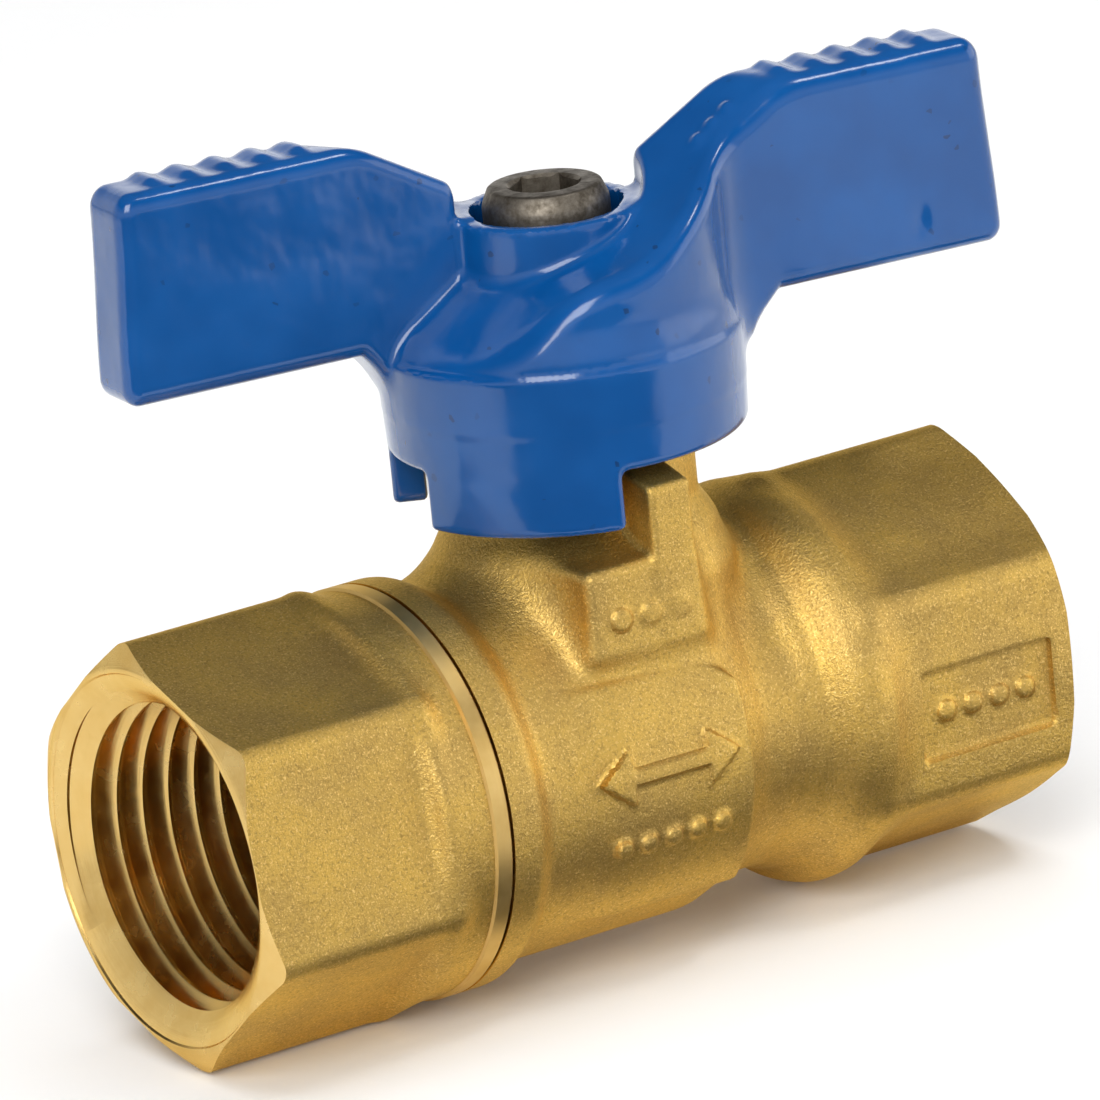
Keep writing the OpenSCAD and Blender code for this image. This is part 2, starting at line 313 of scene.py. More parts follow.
def turned(name, axis, points, sides=192, x0=0.0):
    """A closed turned solid from an outline of (height, radius) corners; ends on the axis are closed."""
    verts, rows = [], []
    for t, r in points:
        if r < 1e-6:
            rows.append([len(verts)] * sides)
            verts.append(around(axis, t, 0, 0, x0))
        else:
            rows.append([len(verts) + i for i in range(sides)])
            verts += [around(axis, t, r, 2 * math.pi * i / sides, x0) for i in range(sides)]
    faces = []
    loop = list(range(len(points)))
    closed = points[0][1] > 1e-6
    pairs = list(zip(loop, loop[1:])) + ([(loop[-1], loop[0])] if closed else [])
    for m, n in pairs:
        for i in range(sides):
            j = (i + 1) % sides
            f = [rows[m][i], rows[m][j], rows[n][j], rows[n][i]]
            f = [v for k, v in enumerate(f) if v not in f[:k]]
            if len(f) > 2:
                faces.append(f)
    thing = new_object(name, verts, faces)
    outward(thing)
    return thing


def face_out(bm):
    """Turns all faces outwards."""
    bmesh.ops.recalc_face_normals(bm, faces=bm.faces)
    if bm.calc_volume(signed=True) < 0:
        bmesh.ops.reverse_faces(bm, faces=bm.faces)


def outward(thing):
    """Turns all faces of an object outwards."""
    bm = bmesh.new()
    bm.from_mesh(thing.data)
    face_out(bm)
    bm.to_mesh(thing.data)
    bm.free()


# one turn of the thread, as (share of the pitch, share of the depth)
THREAD = [(-0.055, 0.0), (0.055, 0.0), (0.085, 0.05), (0.41, 0.93),
          (0.45, 1.0), (0.55, 1.0), (0.59, 0.93), (0.915, 0.05)]


def thread_tool(face_x, way, sides=180):
    """Solid that cuts a right-hand taper thread into an end; way is +1 when it opens towards -X."""
    start, stop = -0.8, THREAD_LENGTH
    turns = int((stop - start) / PITCH) + 3
    count = len(THREAD)
    verts, faces = [], []
    rows = count * turns
    for i in range(sides + 1):
        a = 2 * math.pi * i / sides
        for j in range(rows):
            share, deep = THREAD[j % count]
            t = start + PITCH * (j // count - 1 + share + i / sides + THREAD_PHASE)
            d = CREST_R + THREAD_DEPTH * deep
            if t < start or t > stop:
                t = min(max(t, start), stop)
                d = CREST_R - 0.3
            # the run-out at the bottom of the hole gets shallow
            d = d - TAPER * t - 0.5 * THREAD_DEPTH * float(smooth(np.array(t), stop - 2.2, stop))
            verts.append(around("X", face_x + way * t, d, way * a))
    for i in range(sides):
        for j in range(rows - 1):
            faces.append([i * rows + j, i * rows + j + 1, (i + 1) * rows + j + 1, (i + 1) * rows + j])
    thing = new_object("thread_tool", verts, faces)
    bm = bmesh.new()
    bm.from_mesh(thing.data)
    bmesh.ops.remove_doubles(bm, verts=bm.verts, dist=0.002 * MM)
    bmesh.ops.dissolve_degenerate(bm, edges=bm.edges, dist=0.001 * MM)
    open_edges = [e for e in bm.edges if len(e.link_faces) == 1]
    bmesh.ops.holes_fill(bm, edges=open_edges, sides=0)
    face_out(bm)
    bm.to_mesh(thing.data)
    bm.free()
    return thing


def combine(thing, tool, finish, operation="DIFFERENCE"):
    """Boolean of two closed meshes; the faces that the tool leaves get its finish."""
    tool.data.materials.append(finish)
    m = thing.modifiers.new("cut", "BOOLEAN")
    m.operation = operation
    m.solver = "MANIFOLD"
    m.material_mode = "TRANSFER"
    m.object = tool
    bpy.context.view_layer.update()
    depsgraph = bpy.context.evaluated_depsgraph_get()
    result = bpy.data.meshes.new_from_object(thing.evaluated_get(depsgraph))
    thing.modifiers.clear()
    thing.data = result
    bpy.data.objects.remove(tool)


def shade(thing, degrees=32):
    """Smooth shading that keeps machined edges sharp."""
    bm = bmesh.new()
    bm.from_mesh(thing.data)
    limit = math.radians(degrees)
    for f in bm.faces:
        f.smooth = True
    for e in bm.edges:
        e.smooth = len(e.link_faces) == 2 and e.calc_face_angle(0) < limit
    bm.to_mesh(thing.data)
    bm.free()


# ---------------------------------------------------------------- body and end cap, mm

# rim, barrel, waist and ring, as (distance from the inlet, radius)
BODY_LINE = profile([
    (10, 12.9), (19.3, 12.9), (20.6, BARREL_R), (23, BARREL_R), (34.0, BARREL_R), (35.4, 11.5),
    (37.6, 10.75), (40.2, 10.75), (41.2, 11.1), (41.9, 11.2), (43.3, 12.4), (44.6, 12.9),
    (45.9, 12.75), (48.2, 11.2), (66, 11.2)], 0.3)


def dots(p, q, start, step, count, centre, radius):
    """A row of round dots, seen flat."""
    k = np.clip(np.round((p - start) / step), 0, count - 1)
    return np.sqrt((p - start - step * k) ** 2 + (q - centre) ** 2) - radius


def raised_marks(x, y, z):
    """Plain relief on both sides: a two-way flow arrow and rows of dots."""
    r = np.sqrt(y * y + z * z)
    side = np.abs(y)
    # the pad, unrolled: a shaft and two heads round the arrow's middle, then the dots
    up = 12.3 * np.arctan2(z, side)
    along = np.abs(x - 29.2)
    above = np.abs(up - 1.0)
    shaft = np.maximum(along - 3.2, above - 0.5)
    head = np.maximum(2.7 - along, ((along - 5.1) * 1.8 + above * 2.4) / 3.0)
    flat = np.minimum(np.minimum(shaft, head), dots(x, up, 25.6, 1.8, 5, -3.4, 0.58))
    on_pad = trim(flat, r - PAD_DOT_R, 0.25)
    on_panel = trim(dots(x, z, 50.6, 2.0, 4, -1.1, 0.66), side - 11.5, 0.25)
    on_plate = dots(x, z, STEM_X - 4.3, 2.1, 3, 10.2, 0.72)
    on_plate = trim(on_plate, np.maximum(side - 10.75, y + 9), 0.25)
    marks = np.minimum(np.minimum(on_pad, on_panel), on_plate)
    return np.maximum(marks, 9.0 - side)


def body_field(x, y, z):
    """The forging with its bores still solid."""
    r = np.sqrt(y * y + z * z)
    size, lean = BODY_LINE(x)
    d = (r - size) * lean
    hexa = trim(hexagon(y, z, BODY_FLATS, 0, 0.75), HEX_START - x, 0.8)
    d = fillet(d, hexa, 1.0)
    # neck with its foot
    u = x - STEM_X
    q = np.sqrt(u * u + y * y)
    neck_line = NECK_R + 1.0 * smooth(-z, -15.2, -13.0) + 0.8 * smooth(-z, -13.6, -10.5)
    neck = np.maximum(q - neck_line, slab(z, 0, 21))
    # the waist is deeper on top, beside the neck
    d = d + 0.4 * smooth(z, 0, 9) * np.exp(-((x - 39) / 1.8) ** 2)
    d = soft_min(d, neck, 3.2 - 1.4 * smooth(u, 0, 6))
    # plate below the lug, and the lug
    plate = block(u, y, z, (-6.4, PLATE_Y, 7.9), (1.9, -4.0, 13.5), 0.6)
    d = soft_min(d, plate, 2.0)
    lug_top = 17.75 + 0.28 * (y + 10.5)
    lug = block(u, y, z, (-1.5, LUG_Y, 8.0), (1.55, -4.0, 20.0), 0.35)
    lug = trim(lug, z - lug_top, 0.35)
    d = soft_min(d, lug, 0.5)
    # raised pad on each side of the barrel
    rise = 0.52 * smooth(x, 22.8, 27.0)
    pad = trim(r - BARREL_R - rise, slab(x, 22.3, 35.35), 0.3)
    pad = trim(pad, slab(z, -8.6, 6.7 - 0.12 * np.maximum(x - 31.5, 0) ** 2), 0.5)
    d = soft_min(d, pad, 0.2)
    # shallow panel sunk into the front and back flats of the outlet
    sink = block(x, np.abs(y), z, (48.6, PANEL_Y, -4.0), (58.6, 14.0, 1.7), 0.3)
    d = trim(d, -sink, 0.15)
    d = soft_min(d, raised_marks(x, y, z), 0.3)
    return np.maximum(d, slab(x, 16.7, LENGTH + 1))


def cap_field(x, y, z):
    """The cap's hexagon and round rim, still solid."""
    r = np.sqrt(y * y + z * z)
    hexa = trim(hexagon(y, z, CAP_FLATS, CAP_TURN, 0.7), slab(x, -2, 13.9), 0.9)
    rim = trim(r - CAP_RIM_R, slab(x, 12.9, 17.0), 0.5)
    return fillet(hexa, rim, 1.3)


def mouth(x, way):
    """Outline of a port from the thread's end past its countersink, end face and bevelled corners."""
    return [(x + way * t, r) for t, r in (
        (14, 8.98), (1.3, 9.37), (0.12, 11.38), (0.12, 11.5),
        (0, 11.6), (0, 11.9), (0.9, 13.46), (3.0, 17.1))]


def make_body():
    """The forging with its bores, outlet thread and stem hole."""
    body = skin_object("forged_body", body_field, (16.0, -13.6, -13.6), (61.5, 13.6, 21.5), BODY_GRID)
    body.data.materials.append(forged)
    inside = turned("bore_tool", "X", [
        (8, 0), (8, 17), (17.34, 17), (17.34, CAP_RIM_R), (17.34, SPIGOT_BORE_R), (22, SPIGOT_BORE_R),
        (22, CAVITY_R), (33.2, CAVITY_R), (36.9, SEAT_R), (41, SEAT_R), (41, PORT_R), (46, PORT_R),
        *mouth(LENGTH, -1), (66, 17.1), (66, 0)])
    combine(body, inside, turned_brass)
    combine(body, thread_tool(LENGTH, -1), turned_brass)
    stem = turned("stem_tool", "Z", [
        (0, 0), (0, SHOULDER_R), (12.25, SHOULDER_R), (12.25, STEM_HOLE_R), (18.9, STEM_HOLE_R),
        (19.4, 5.25), (19.4, 13), (26, 13), (26, 0)], x0=STEM_X)
    combine(body, stem, turned_brass)
    return body


def make_cap():
    """The cap, with a bright collar and a spigot that goes into the body."""
    cap = skin_object("forged_end_cap", cap_field, (-2.5, -14, -14), (17.2, 14, 14), BODY_GRID)
    cap.data.materials.append(forged)
    spigot_r, nose_r = SPIGOT_BORE_R - SPIGOT_GAP, CAVITY_R - SPIGOT_GAP
    tail = turned("collar_tool", "X", [
        (15.98, 0), (15.98, CAP_RIM_R), (16.1, 12.9), (17.08, 12.9), (17.24, 12.74), (17.24, spigot_r),
        (21.7, spigot_r), (21.7, nose_r), (27.1, nose_r), (27.1, 0)])
    behind = turned("behind_tool", "X", [(16.0, 0), (16.0, 20), (30, 20), (30, 0)])
    combine(cap, behind, turned_brass)
    combine(cap, tail, brushed_brass, "UNION")
    inside = turned("bore_tool", "X", [
        (-6, 0), (-6, 17.1), *reversed(mouth(0, 1)), (14, PORT_R), (23.6, PORT_R), (23.6, SEAT_R),
        (28, SEAT_R), (28, 0)])
    combine(cap, inside, turned_brass)
    combine(cap, thread_tool(0, 1), turned_brass)
    return cap


# ---------------------------------------------------------------- handle, mm, in its own frame


def grip_waves(u, v, front):
    """Plain low ribs across the top of a wing, fading towards its front edge."""
    height, first, spacing = 0.34, 14.9, 2.45
    wave = 0.5 + 0.5 * np.cos(2 * math.pi * (u - first) / spacing)
    along = smooth(u, first - 1.2, first) * smooth(-u, -26.0, -24.7)
    across = front * (v - (WING_NEAR + WING_FAR) / 2)
    return height * wave * along * smooth(across, -1.9, -0.3) * smooth(-across, -2.6, -1.9)


def half_top(u, v, front):
    """Height of the ramp that climbs the hub and becomes the wing's top edge."""
    r = np.sqrt(u * u + v * v)
    a = np.degrees(np.arctan2(v, u))
    a = np.where(a > 90, a - 360, a)
    plane = 38.0 + 0.572 * (u - WING_ROOT) + 0.148 * v + 0.75 * smooth(v, -5.5, WING_NEAR)
    outer = 26.0 + 4.8 * smooth(a, -150, -95)
    inner = 29.3 + 1.9 * smooth(a, -155, -85)
    cone = inner + (outer - inner) * (np.clip(r, 5.8, 12.0) - 6.5) / 4.2
    ramp = soft_max(plane, cone, 1.6)
    # three small dots on the ramp
    for n in range(3):
        ramp = ramp + 0.34 * np.exp(-((u - 8.6 - 1.15 * n) ** 2 + (v + 3.9 - 0.2 * n) ** 2) / 0.2)
    return soft_min(ramp, WING_HIGH + grip_waves(u, v, front), 0.7)


def half_handle(u, v, z, front):
    """The hub with one wing; front is 1 where the far face of the wing is seen at rest, else -1."""
    r = np.sqrt(u * u + v * v)
    top = (z - half_top(u, v, front)) * 0.87
    tip = WING_TIP - 0.6 * smooth(z, 26.3, 39)
    wing = trim(slab(v, WING_FAR, 3.0), u - tip, 1.1)
    low = WING_LOW - np.clip(12.8 - u, 0, 2.1)
    wing = trim(wing, (low - z) * 0.85, 0.95)
    wing = np.maximum(wing, -u)
    hub = np.maximum(r - HUB_R - 0.4 * smooth(-z, -28.7, -SKIRT_HIGH), 22.0 - z)
    solid = fillet(hub, wing, 1.6)
    solid = trim(solid, top, 1.25)
    wall = v - WING_NEAR * np.tanh(u / 2)
    return trim(solid, wall, 1.0)


def handle_field(u, v, z):
    """The whole handle: u runs along the wings, v across them."""
    r = np.sqrt(u * u + v * v)
    a = np.degrees(np.arctan2(v, u))
    front = half_handle(u, v, z, 1)
    back = half_handle(-u, -v, z, -1)
    d = fillet(front, back, 1.1)
    seat = trim(r - COLLAR_R - 0.1, COLLAR_HIGH - z, 0.7)
    d = trim(d, -seat, 0.4)
    collar = trim(r - COLLAR_R, slab(z, 22, COLLAR_HIGH), 0.3)
    d = fillet(d, collar, 0.6)
    # skirt with its tabs
    wall_r = SKIRT_R + 0.3 * np.clip((z - GAP_HIGH) / (SKIRT_HIGH - GAP_HIGH), 0, 1)
    skirt = trim(r - wall_r, slab(z, SKIRT_LOW, SKIRT_HIGH), 0.35)
    gap = None
    for start, stop in ((-99.6, 10.4), (79.6, 146.0), (155.4, 190.4)):
        mid, half = (start + stop) / 2, (stop - start) / 2
        turn = (a - mid + 180) % 360 - 180
        side = (np.abs(turn) - half) * math.pi / 180 * np.maximum(r, 4)
        g = trim(side, z - GAP_HIGH, 0.5)
        gap = g if gap is None else np.minimum(gap, g)
    d = fillet(d, skirt, 0.15)
    d = trim(d, -gap, 0.45)
    d = trim(d, -np.maximum(r - 8.9, z - 22.0), 0.3)
    # a paint sag on one wing
    sag = np.exp(-((u - 22.6) / 0.55) ** 2 - ((z - 28.7) / 1.0) ** 2)
    d = d + 0.16 * sag * (v < -4)
    recess = np.maximum(r - RECESS_R, 28.6 - z)
    return trim(d, -recess, 0.22)


def make_handle():
    """The enamelled handle, turned to its place at rest."""
    handle = skin_object(
        "enamelled_handle", handle_field, (-28.7, -11.6, 15.4), (28.7, 11.6, 40.0), HANDLE_GRID)
    handle.data.materials.append(enamel)
    # square hole for the stem
    bm = bmesh.new()
    bmesh.ops.create_cube(bm, size=1.0)
    bmesh.ops.scale(bm, vec=Vector((STEM_SQUARE, STEM_SQUARE, 8.0)), verts=bm.verts)
    bmesh.ops.translate(bm, vec=Vector((0, 0, 25.3)), verts=bm.verts)
    corners = [e for e in bm.edges if abs(e.verts[0].co.z - e.verts[1].co.z) > 1]
    bmesh.ops.bevel(bm, geom=corners, offset=1.2, segments=5, affect="EDGES", profile=0.5)
    bmesh.ops.scale(bm, vec=Vector((MM, MM, MM)), verts=bm.verts)
    mesh = bpy.data.meshes.new("square_tool")
    bm.to_mesh(mesh)
    bm.free()
    combine(handle, link("square_tool", mesh), enamel)
    rest = Matrix.Rotation(math.radians(REST_TURN), 4, "Z")
    handle.data.transform(Matrix.Translation(STEM_CENTRE) @ rest)
    return handle


# ---------------------------------------------------------------- screw, mm


def make_screw():
    """Socket-head screw with a domed edge."""
    screw = turned("socket_screw", "Z", [
        (HEAD_HIGH, 0.0), (HEAD_HIGH, 3.25), (34.77, 3.38), (34.68, 3.5), (34.1, 3.76), (33.9, 3.84),
        (33.7, 3.88), (33.4, HEAD_R), (30.05, HEAD_R), (HEAD_LOW, HEAD_R - 0.2), (HEAD_LOW, SHANK_R),
        (19.3, SHANK_R), (19.0, SHANK_R - 0.3), (19.0, 0.0)], 128, STEM_X)
    screw.data.materials.append(steel)
    corner = SOCKET / math.sqrt(3)
    hexa = turned("hex_tool", "Z", [
        (32.0, 0), (32.3, corner * 0.55), (32.35, corner), (36, corner), (36, 0)], 6, STEM_X)
    turn = Matrix.Rotation(math.radians(SOCKET_TURN), 4, "Z")
    to_axis = Matrix.Translation(STEM_CENTRE)
    hexa.data.transform(to_axis @ turn @ to_axis.inverted())
    combine(screw, hexa, steel)
    mouth_cone = turned("mouth_tool", "Z", [(34.6, 0), (34.6, 2.12), (35.0, 2.48), (35.0, 0)], 64, STEM_X)
    combine(screw, mouth_cone, steel)
    return screw


# ---------------------------------------------------------------- materials


class Recipe:
    """Node material for one finish; lengths in mm, colours linear."""

    def __init__(self, name, **constants):
        self.material = bpy.data.materials.new(name)
        self.material.use_nodes = True
        self.tree = self.material.node_tree
        self.shader = self.tree.nodes["Principled BSDF"]
        for key, value in constants.items():
            self.shader.inputs[key.replace("_", " ")].default_value = value
        self.place = self.add("ShaderNodeTexCoord").outputs["Object"]
        self.normal = None

    def add(self, kind, **settings):
        """A new node with its settings."""
        node = self.tree.nodes.new(kind)
        for key, value in settings.items():
            setattr(node, key, value)
        return node

    def put(self, socket, value):
        """Links a socket, or sets its value."""
        if isinstance(value, bpy.types.NodeSocket):
            self.tree.links.new(value, socket)
        else:
            socket.default_value = value

    def noise(self, size, detail=2.0, rough=0.5, where=None):
        """Smooth random values between 0 and 1, with features of about that size."""
        node = self.add("ShaderNodeTexNoise")
        self.put(node.inputs["Vector"], where or self.place)
        self.put(node.inputs["Scale"], 1 / (size * MM))
        self.put(node.inputs["Detail"], detail)
        self.put(node.inputs["Roughness"], rough)
        return node.outputs["Fac"]

    def cells(self, size):
        """A random value for each small cell of the surface."""
        node = self.add("ShaderNodeTexVoronoi")
        self.put(node.inputs["Vector"], self.place)
        self.put(node.inputs["Scale"], 1 / (size * MM))
        split = self.add("ShaderNodeSeparateColor")
        self.put(split.inputs["Color"], node.outputs["Color"])
        return split.outputs["Red"]

    def rings(self, across, centre=(0, 0, 0)):
        """Coordinates that stay the same all round an axis: radius and height."""
        moved = self.add("ShaderNodeVectorMath", operation="SUBTRACT")
        self.put(moved.inputs[0], self.place)
        self.put(moved.inputs[1], centre)
        flat = self.add("ShaderNodeVectorMath", operation="MULTIPLY")
        self.put(flat.inputs[0], moved.outputs["Vector"])
        self.put(flat.inputs[1], across)
        radius = self.add("ShaderNodeVectorMath", operation="LENGTH")
        self.put(radius.inputs[0], flat.outputs["Vector"])
        height = self.add("ShaderNodeVectorMath", operation="DOT_PRODUCT")
        self.put(height.inputs[0], moved.outputs["Vector"])
        self.put(height.inputs[1], tuple(1 - v for v in across))
        pair = self.add("ShaderNodeCombineXYZ")
        self.put(pair.inputs["X"], radius.outputs["Value"])
        self.put(pair.inputs["Y"], height.outputs["Value"])
        return pair.outputs["Vector"]

    def spread(self, value, start, stop, low=0.0, high=1.0):
        """Maps start to low and stop to high."""
        node = self.add("ShaderNodeMapRange")
        for socket, v in zip(node.inputs, (value, start, stop, low, high)):
            self.put(socket, v)
        return node.outputs["Result"]

    def blend(self, share, a, b):
        """Mixes two colours."""
        node = self.add("ShaderNodeMix", data_type="RGBA")
        self.put(node.inputs[0], share)
        for socket, v in ((node.inputs[6], a), (node.inputs[7], b)):
            self.put(socket, v if isinstance(v, bpy.types.NodeSocket) else (*v, 1))
        return node.outputs[2]

    def relief(self, height, depth):
        """Adds a bump of that depth on top of the ones before."""
        node = self.add("ShaderNodeBump")
        self.put(node.inputs["Distance"], depth * MM)
        self.put(node.inputs["Height"], height)
        if self.normal:
            self.put(node.inputs["Normal"], self.normal)
        self.normal = node.outputs["Normal"]

    def done(self, colour, roughness):
        """Links the results to the shader."""
        self.put(self.shader.inputs["Base Color"], colour)
        self.put(self.shader.inputs["Roughness"], roughness)
        self.put(self.shader.inputs["Normal"], self.normal)
        return self.material


def forged_brass():
    """Hot-forged brass, shot-blasted: a sparkling grain with browner patches."""
    m = Recipe("forged_brass", Metallic=1.0, Specular_Tint=EDGE_TINT)
    grain = m.noise(0.22, 3, 0.7)
    fleck = m.noise(0.13, 1, 0.5)
    patch = m.noise(4.5, 3, 0.6)
    stain = m.noise(1.1, 4, 0.6)
    colour = m.blend(m.spread(patch, 0.35, 0.68), BRASS_BROWN, BRASS)
    colour = m.blend(m.spread(stain, 0.56, 0.78, 0, 0.35), colour, BRASS_DARK)
    colour = m.blend(m.spread(grain, 0.5, 0.32, 0, 0.6), colour, BRASS_DARK)
    colour = m.blend(m.spread(fleck, 0.55, 0.75, 0, 0.8), colour, BRASS_LIGHT)
    m.relief(m.noise(1.5, 2), 0.05)
    m.relief(grain, 0.05)
    m.relief(fleck, 0.02)
    return m.done(colour, m.spread(grain, 0.3, 0.7, 0.56, 0.44))


def lathe_brass(name, across, centre, rough):
    """Brass turned on a lathe: fine grooves all round the axis."""
    m = Recipe(name, Metallic=1.0, Anisotropic=0.2, Specular_Tint=EDGE_TINT)
    where = m.rings(across, centre)
    fine = m.noise(0.12, 1, 0.5, where)
    coarse = m.noise(0.7, 2, 0.5, where)
    smear = m.noise(2.4, 3, 0.6)
    colour = m.blend(m.spread(smear, 0.35, 0.7), TURNED_WARM, TURNED)
    colour = m.blend(m.spread(coarse, 0.55, 0.7, 0, 0.2), colour, BRASS_BROWN)
    m.relief(fine, 0.005)
    m.relief(coarse, 0.012)
    return m.done(colour, m.spread(smear, 0.3, 0.7, rough - 0.05, rough + 0.06))


def blue_paint():
    """Thick glossy enamel on a casting: soft waves, a few specks."""
    m = Recipe("blue_enamel", Coat_Weight=0.7, Coat_Roughness=0.13, Specular_IOR_Level=0.25)
    speck = m.cells(0.32)
    cloud = m.noise(6.0, 2)
    colour = m.blend(m.spread(cloud, 0.35, 0.7), ENAMEL_DEEP, ENAMEL)
    colour = m.blend(m.spread(speck, 0.994, 1.0, 0, 0.7), colour, ENAMEL_SPECK)
    tall = m.add("ShaderNodeMapping")
    m.put(tall.inputs["Vector"], m.place)
    m.put(tall.inputs["Scale"], (1, 1, 0.7))
    m.relief(m.noise(6.0, 1), 0.12)
    m.relief(m.noise(2.8, 2, 0.5, tall.outputs["Vector"]), 0.085)
    done = m.done(colour, m.spread(cloud, 0.3, 0.7, 0.16, 0.24))
    m.put(m.shader.inputs["Coat Normal"], m.normal)
    return done


def grey_steel(name, colour_low, colour_high, rough):
    """Dull plated steel with dark stains and fine turning marks."""
    m = Recipe(name, Metallic=1.0)
    where = m.rings((1, 1, 0), STEM_CENTRE)
    stain = m.noise(0.8, 4, 0.65)
    lines = m.noise(0.15, 1, 0.5, where)
    colour = m.blend(m.spread(stain, 0.35, 0.68), colour_low, colour_high)
    m.relief(lines, 0.004)
    m.relief(m.noise(0.3, 2, 0.6), 0.012)
    return m.done(colour, m.spread(stain, 0.3, 0.7, rough + 0.12, rough - 0.06))


def chrome():
    """Polished plated ball with hair scratches."""
    m = Recipe("ball_chrome", Metallic=1.0)
    haze = m.noise(3.0, 3, 0.6)
    scratch = m.noise(0.12, 1, 0.5, m.rings((1, 1, 0), STEM_CENTRE))
    m.relief(scratch, 0.0012)
    colour = m.blend(haze, (0.58, 0.6, 0.62), (0.72, 0.73, 0.74))
    return m.done(colour, m.spread(haze, 0.3, 0.7, 0.07, 0.16))


def seat_plastic():
    """White slippery seat plastic with turning marks."""
    m = Recipe("seat_plastic", Subsurface_Weight=0.08, Subsurface_Scale=0.0008)
    lines = m.noise(0.2, 1, 0.5, m.rings((0, 1, 1)))
    haze = m.noise(1.8, 3, 0.6)
    m.relief(lines, 0.006)
    colour = m.blend(haze, (0.72, 0.71, 0.67), (0.82, 0.82, 0.79))
    return m.done(colour, m.spread(haze, 0.3, 0.7, 0.34, 0.46))


def floor_finish():
    """Matt off-white studio paper."""
    m = Recipe("floor_paper")
    m.relief(m.noise(1.2, 3, 0.6), 0.02)
    return m.done(m.blend(m.noise(40.0, 2), (0.9, 0.9, 0.9), (0.93, 0.93, 0.925)), 0.85)


def painted_reflection_finish():
    """Matt black sheet seen only in reflections: painted dark reflections and painted shade."""
    m = Recipe("painted_reflection_and_shade")
    m.relief(m.noise(0.8, 3, 0.6), 0.05)
    return m.done(m.blend(m.noise(9.0, 2), (0.012, 0.012, 0.012), (0.022, 0.022, 0.022)), 0.9)


def ring_rubber():
    """Black moulded rubber with a fine matt grain."""
    m = Recipe("ring_rubber")
    grain = m.noise(0.12, 2, 0.6)
    bloom = m.noise(1.4, 3, 0.6)
    m.relief(grain, 0.01)
    colour = m.blend(bloom, (0.012, 0.012, 0.013), (0.035, 0.034, 0.033))
    return m.done(colour, m.spread(grain, 0.3, 0.7, 0.5, 0.68))


# linear colours
EDGE_TINT = (0.95, 0.8, 0.5, 1)
BRASS = (0.73, 0.475, 0.112)
BRASS_BROWN = (0.58, 0.38, 0.11)
BRASS_DARK = (0.36, 0.235, 0.07)
BRASS_LIGHT = (0.95, 0.69, 0.25)
TURNED = (0.78, 0.55, 0.21)
TURNED_WARM = (0.7, 0.46, 0.15)
ENAMEL = (0.0012, 0.071, 0.262)
ENAMEL_DEEP = (0.0008, 0.056, 0.215)
ENAMEL_SPECK = (0.004, 0.02, 0.07)

forged = forged_brass()
turned_brass = lathe_brass("turned_brass", (0, 1, 1), (0, 0, 0), 0.24)
brushed_brass = lathe_brass("brushed_brass", (0, 1, 1), (0, 0, 0), 0.42)
stem_brass = lathe_brass("stem_brass", (1, 1, 0), STEM_CENTRE, 0.26)
enamel = blue_paint()
steel = grey_steel("dull_steel", (0.12, 0.1, 0.075), (0.31, 0.275, 0.225), 0.5)
spring = grey_steel("spring_steel", (0.2, 0.19, 0.18), (0.4, 0.39, 0.37), 0.34)
rubber = ring_rubber()
plastic = seat_plastic()
for node, finish in (
    ("ball", chrome()), ("inlet_seat", plastic), ("outlet_seat", plastic), ("thrust_washer", plastic),
    ("stem", stem_brass), ("lower_stem_ring", rubber), ("upper_stem_ring", rubber),
    ("spring_washer", spring),
):
    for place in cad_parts[node].material_slots:
        place.material = finish

body = make_body()
cap = make_cap()
handle = make_handle()
screw = make_screw()
for piece, owner, node, where in (
    (body, "valve_body", "body", "body_brass"),
    (cap, "valve_body", "end_cap", "cap_brass"),
    (handle, "handle_and_stem", "handle", "handle_paint"),
    (screw, "handle_and_stem", "handle_screw", "screw_steel"),
):
    shade(piece)
    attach(piece, owner)
    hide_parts(node)

# ---------------------------------------------------------------- camera, floor and light

AZIMUTH, ELEVATION, ROLL = math.radians(-32.714), math.radians(16.461), math.radians(-5.654)
DISTANCE = 621.87        # mm, from the camera to the point it looks at
TARGET = Vector((17.291, -20.0, 19.098))
LENS = 347.57673         # mm, on a sensor 36 mm wide

level = math.cos(ELEVATION)
back = Vector((math.sin(AZIMUTH) * level, -math.cos(AZIMUTH) * level, math.sin(ELEVATION)))
right = (-back).cross(Vector((0, 0, 1))).normalized()
up = right.cross(-back)
right_roll = math.cos(ROLL) * right + math.sin(ROLL) * up
up_roll = -math.sin(ROLL) * right + math.cos(ROLL) * up
camera_data = bpy.data.cameras.new("camera")
camera_data.sensor_width = 36
camera_data.lens = LENS
camera_data.clip_start = 0.01
camera = link("camera", camera_data)
place = (TARGET + back * DISTANCE) * MM
camera.matrix_world = Matrix((
    (right_roll.x, up_roll.x, back.x, place.x),
    (right_roll.y, up_roll.y, back.y, place.y),
    (right_roll.z, up_roll.z, back.z, place.z),
    (0, 0, 0, 1)))
bpy.context.scene.camera = camera


def sheet(name, height, corners):
    """A flat sheet at a height, from its corners; all in mm."""
    return new_object(name, [(x, y, height) for x, y in corners], [range(len(corners))])


FLOOR = 3000             # half its width
floor_z = cad_low[2] / MM
floor = sheet("floor", floor_z, [(-FLOOR, -FLOOR), (FLOOR, -FLOOR), (FLOOR, FLOOR), (-FLOOR, FLOOR)])
floor.data.materials.append(floor_finish())

VALVE_MIDDLE = Vector((0.03, 0, 0.012))


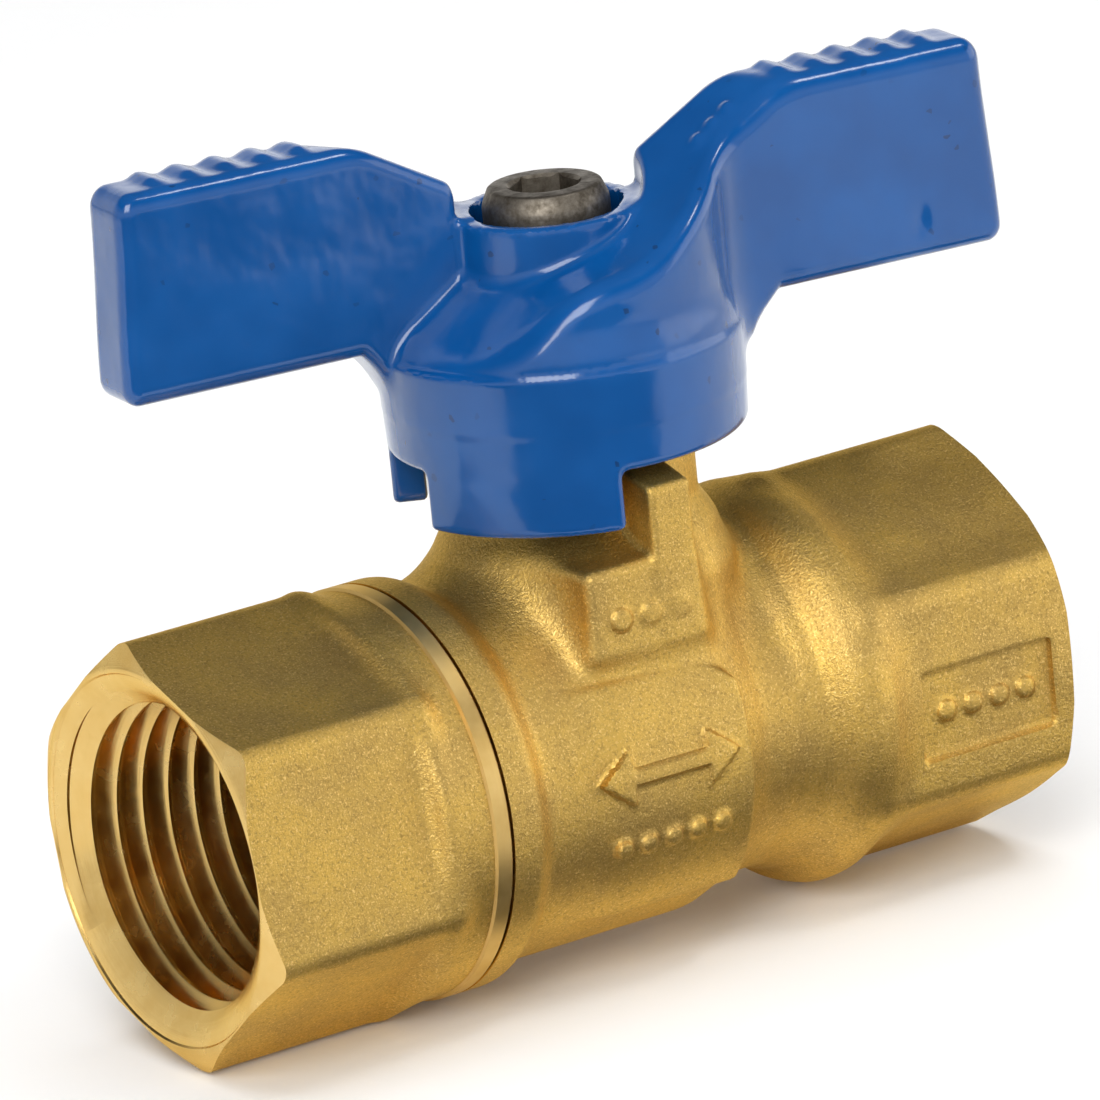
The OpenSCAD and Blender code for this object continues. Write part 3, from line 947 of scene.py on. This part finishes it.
def lamp(name, at, size, power):
    """A softbox facing the valve; places in metres from its middle, power in watts."""
    data = bpy.data.lights.new(name, "AREA")
    data.shape = "RECTANGLE"
    data.size, data.size_y = size
    data.energy = power
    thing = link(name, data)
    thing.location = VALVE_MIDDLE + Vector(at)
    thing.rotation_euler = (-Vector(at)).to_track_quat("-Z", "Y").to_euler()
    return thing


def studio():
    """A dim ceiling and a bright band near the horizon."""
    world = bpy.data.worlds.new("studio")
    world.use_nodes = True
    tree = world.node_tree
    ground = tree.nodes["Background"]
    where = tree.nodes.new("ShaderNodeTexCoord")
    split = tree.nodes.new("ShaderNodeSeparateXYZ")
    ramp = tree.nodes.new("ShaderNodeValToRGB")
    tree.links.new(where.outputs["Generated"], split.inputs["Vector"])
    tree.links.new(split.outputs["Z"], ramp.inputs["Fac"])
    tree.links.new(ramp.outputs["Color"], ground.inputs["Color"])
    stops = ramp.color_ramp.elements
    stops[0].position, stops[0].color = 0.25, (0.8, 0.8, 0.8, 1)
    stops[1].position, stops[1].color = 0.6, (0.06, 0.06, 0.065, 1)
    ground.inputs["Strength"].default_value = 1.0
    bpy.context.scene.world = world


studio()
lamp("key", (-0.5, -0.55, 0.5), (0.5, 0.5), 5.5)
lamp("side", (0.8, -0.42, 0.2), (0.9, 0.7), 2.6)
lamp("back", (0.5, 0.75, 0.3), (0.9, 0.5), 0.45)
lamp("strip", (0.36, -0.32, 0.82), (0.22, 0.1), 0.9)
overhead = lamp("overhead", (0.0, 0.02, 0.9), (1.2, 1.2), 8)
overhead.visible_glossy = False

# dark sheets on the floor in front, seen only in reflections: a card to the left paints dark reflections,
# and a strip along the valve paints the shade of the valve's shadow into its reflections
card_z = floor_z + 0.4
reflection_card = sheet("painted_reflection_card", card_z, [
    (-700, -700), (80, -700), (80, -100), (67, -92), (67, -64), (10, -64), (-4, -40), (-700, -40)])
# painted shade: this strip lies where the valve's shadow falls and darkens the lower barrel in reflection
shade_strip = sheet("painted_shade_strip", card_z + 0.2, [(2, -32), (80, -32), (80, -13), (2, -13)])
painted_shade_look = painted_reflection_finish()
for card in (reflection_card, shade_strip):
    card.data.materials.append(painted_shade_look)
    card.visible_camera = card.visible_diffuse = card.visible_shadow = False
bpy.context.scene.view_settings.view_transform = "Standard"
